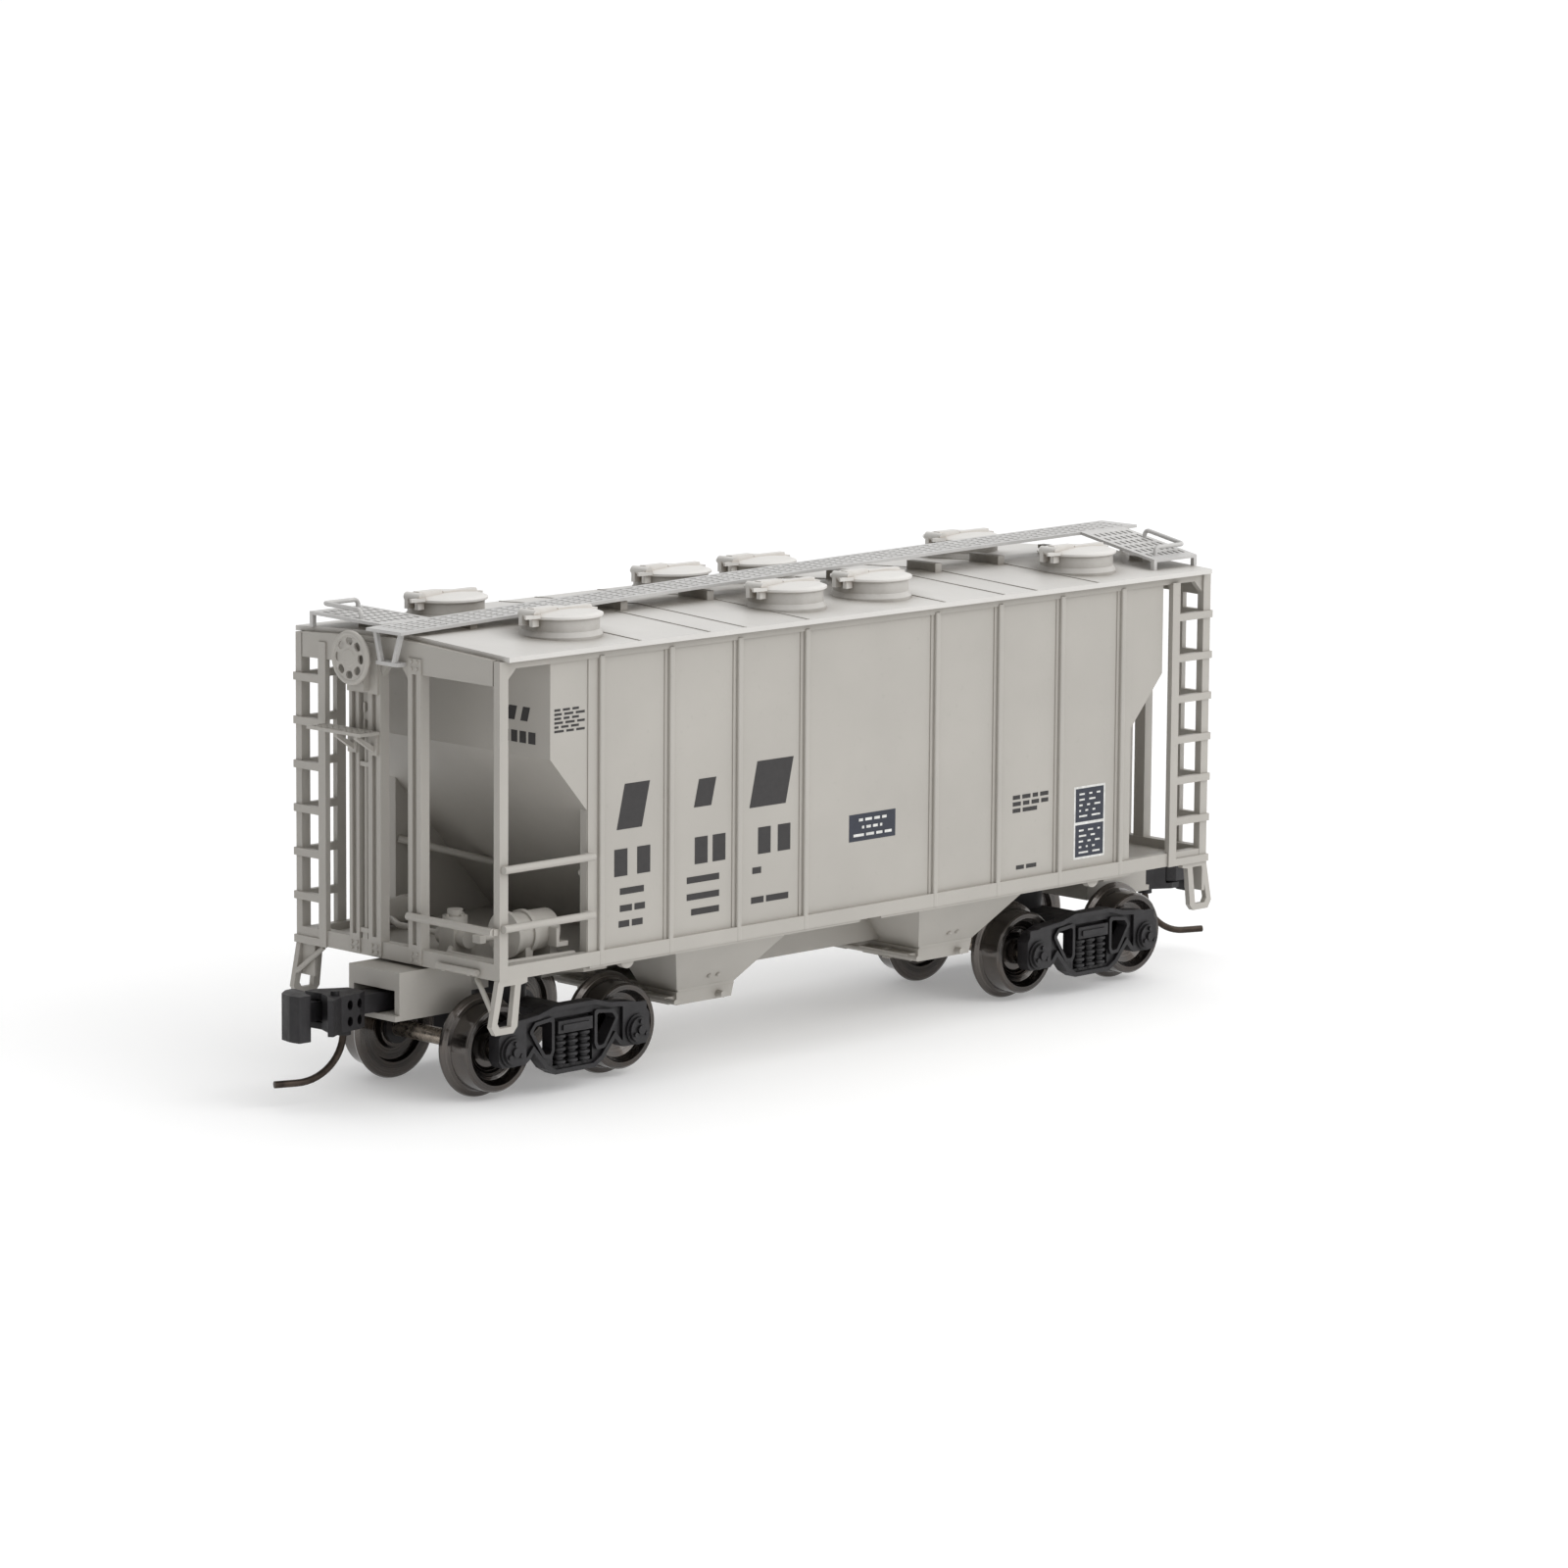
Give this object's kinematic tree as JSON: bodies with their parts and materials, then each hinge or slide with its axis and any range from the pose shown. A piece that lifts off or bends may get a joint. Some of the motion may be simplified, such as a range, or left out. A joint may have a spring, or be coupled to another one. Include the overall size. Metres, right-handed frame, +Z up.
{
  "type": "model covered hopper car",
  "caption": "N scale covered hopper car with sloped ends, round roof hatches, roofwalk, brake gear, hopper bays, swivelling trucks and knuckle couplers.",
  "frame": {"origin": "on the surface that the wheel flanges stand on, midway between the couplers and on the centre line", "axes": "+X along the car towards the A end (the end without brake gear), +Y across the car, +Z up"},
  "size_m": [0.0842, 0.0202, 0.0313],
  "materials": {
    "body_paint": "satin",
    "roof_paint": "satin",
    "lid_paint": "satin",
    "etched_metal": "satin",
    "detail_paint": "satin",
    "underframe_paint": "satin",
    "black_plastic": "matte",
    "blackened_wheel": "satin",
    "axle_steel": "satin",
    "bush_plastic": "matte",
    "blackened_wire": "satin",
    "spring_bronze": "satin",
    "screw_steel": "satin",
    "ballast_steel": "satin"
  },
  "bodies": {
    "car_body": {"body_shell": "body_paint", "roof": "roof_paint", "hatch_cover_1": "lid_paint", "hatch_cover_2": "lid_paint", "hatch_cover_3": "lid_paint", "hatch_cover_4": "lid_paint", "hatch_cover_5": "lid_paint", "hatch_cover_6": "lid_paint", "hatch_cover_7": "lid_paint", "hatch_cover_8": "lid_paint", "roofwalk": "etched_metal", "roofwalk_grabs": "etched_metal", "end_frame_b": "body_paint", "end_frame_a": "body_paint", "corner_ladder_b": "detail_paint", "corner_ladder_a": "detail_paint", "grab_irons": "detail_paint", "stirrup_steps": "detail_paint", "underframe": "underframe_paint", "hopper_bay_b": "underframe_paint", "hopper_bay_a": "underframe_paint", "outlet_gates": "underframe_paint", "brake_wheel": "detail_paint", "brake_gear_housing": "detail_paint", "brake_platform": "detail_paint", "brake_rod": "detail_paint", "brake_cylinder": "detail_paint", "air_reservoir": "detail_paint", "control_valve": "detail_paint", "brake_pipes": "detail_paint", "uncoupling_levers": "detail_paint", "ballast_weight": "ballast_steel", "coupler_box_covers": "underframe_paint", "truck_screws": "screw_steel", "coupler_box_screws": "screw_steel", "coupler_spring_b": "spring_bronze", "coupler_spring_a": "spring_bronze"},
    "truck_b": {"truck_bolster_b": "black_plastic", "truck_sideframes_b": "black_plastic"},
    "truck_a": {"truck_bolster_a": "black_plastic", "truck_sideframes_a": "black_plastic"},
    "wheelset_1": {"axle_1": "axle_steel", "wheels_1": "blackened_wheel", "insulating_bush_1": "bush_plastic"},
    "wheelset_2": {"axle_2": "axle_steel", "wheels_2": "blackened_wheel", "insulating_bush_2": "bush_plastic"},
    "wheelset_3": {"axle_3": "axle_steel", "wheels_3": "blackened_wheel", "insulating_bush_3": "bush_plastic"},
    "wheelset_4": {"axle_4": "axle_steel", "wheels_4": "blackened_wheel", "insulating_bush_4": "bush_plastic"},
    "coupler_b": {"coupler_head_b": "black_plastic", "trip_pin_b": "blackened_wire"},
    "knuckle_body_b": {"knuckle_b": "black_plastic"},
    "coupler_a": {"coupler_head_a": "black_plastic", "trip_pin_a": "blackened_wire"},
    "knuckle_body_a": {"knuckle_a": "black_plastic"}
  },
  "joints": [
    {"name": "truck_b_swivel", "type": "hinge", "parent": "car_body", "child": "truck_b", "pos_m": [-0.0244, 0, 0.0069], "axis": [0, 0, 1], "range_deg": [-8, 8]},
    {"name": "truck_a_swivel", "type": "hinge", "parent": "car_body", "child": "truck_a", "pos_m": [0.0244, 0, 0.0069], "axis": [0, 0, 1], "range_deg": [-8, 8]},
    {"name": "wheelset_1_spin", "type": "hinge", "parent": "truck_b", "child": "wheelset_1", "pos_m": [-0.02985, 0, 0.00336], "axis": [0, 1, 0], "continuous": true},
    {"name": "wheelset_2_spin", "type": "hinge", "parent": "truck_b", "child": "wheelset_2", "pos_m": [-0.01895, 0, 0.00336], "axis": [0, 1, 0], "continuous": true},
    {"name": "wheelset_3_spin", "type": "hinge", "parent": "truck_a", "child": "wheelset_3", "pos_m": [0.01895, 0, 0.00336], "axis": [0, 1, 0], "continuous": true},
    {"name": "wheelset_4_spin", "type": "hinge", "parent": "truck_a", "child": "wheelset_4", "pos_m": [0.02985, 0, 0.00336], "axis": [0, 1, 0], "continuous": true},
    {"name": "coupler_b_swing", "type": "hinge", "parent": "car_body", "child": "coupler_b", "pos_m": [-0.0312, 0, 0.00635], "axis": [0, 0, 1], "range_deg": [-10, 10], "stiffness_Nm_per_rad": 0.0001},
    {"name": "coupler_a_swing", "type": "hinge", "parent": "car_body", "child": "coupler_a", "pos_m": [0.0312, 0, 0.00635], "axis": [0, 0, 1], "range_deg": [-10, 10], "stiffness_Nm_per_rad": 0.0001},
    {"name": "knuckle_b_open", "type": "hinge", "parent": "coupler_b", "child": "knuckle_body_b", "pos_m": [-0.039, 0.0012, 0.0061], "axis": [0, 0, -1], "range_deg": [0, 30], "stiffness_Nm_per_rad": 0.0001},
    {"name": "knuckle_a_open", "type": "hinge", "parent": "coupler_a", "child": "knuckle_body_a", "pos_m": [0.039, -0.0012, 0.0061], "axis": [0, 0, -1], "range_deg": [0, 30], "stiffness_Nm_per_rad": 0.0001}
  ]
}
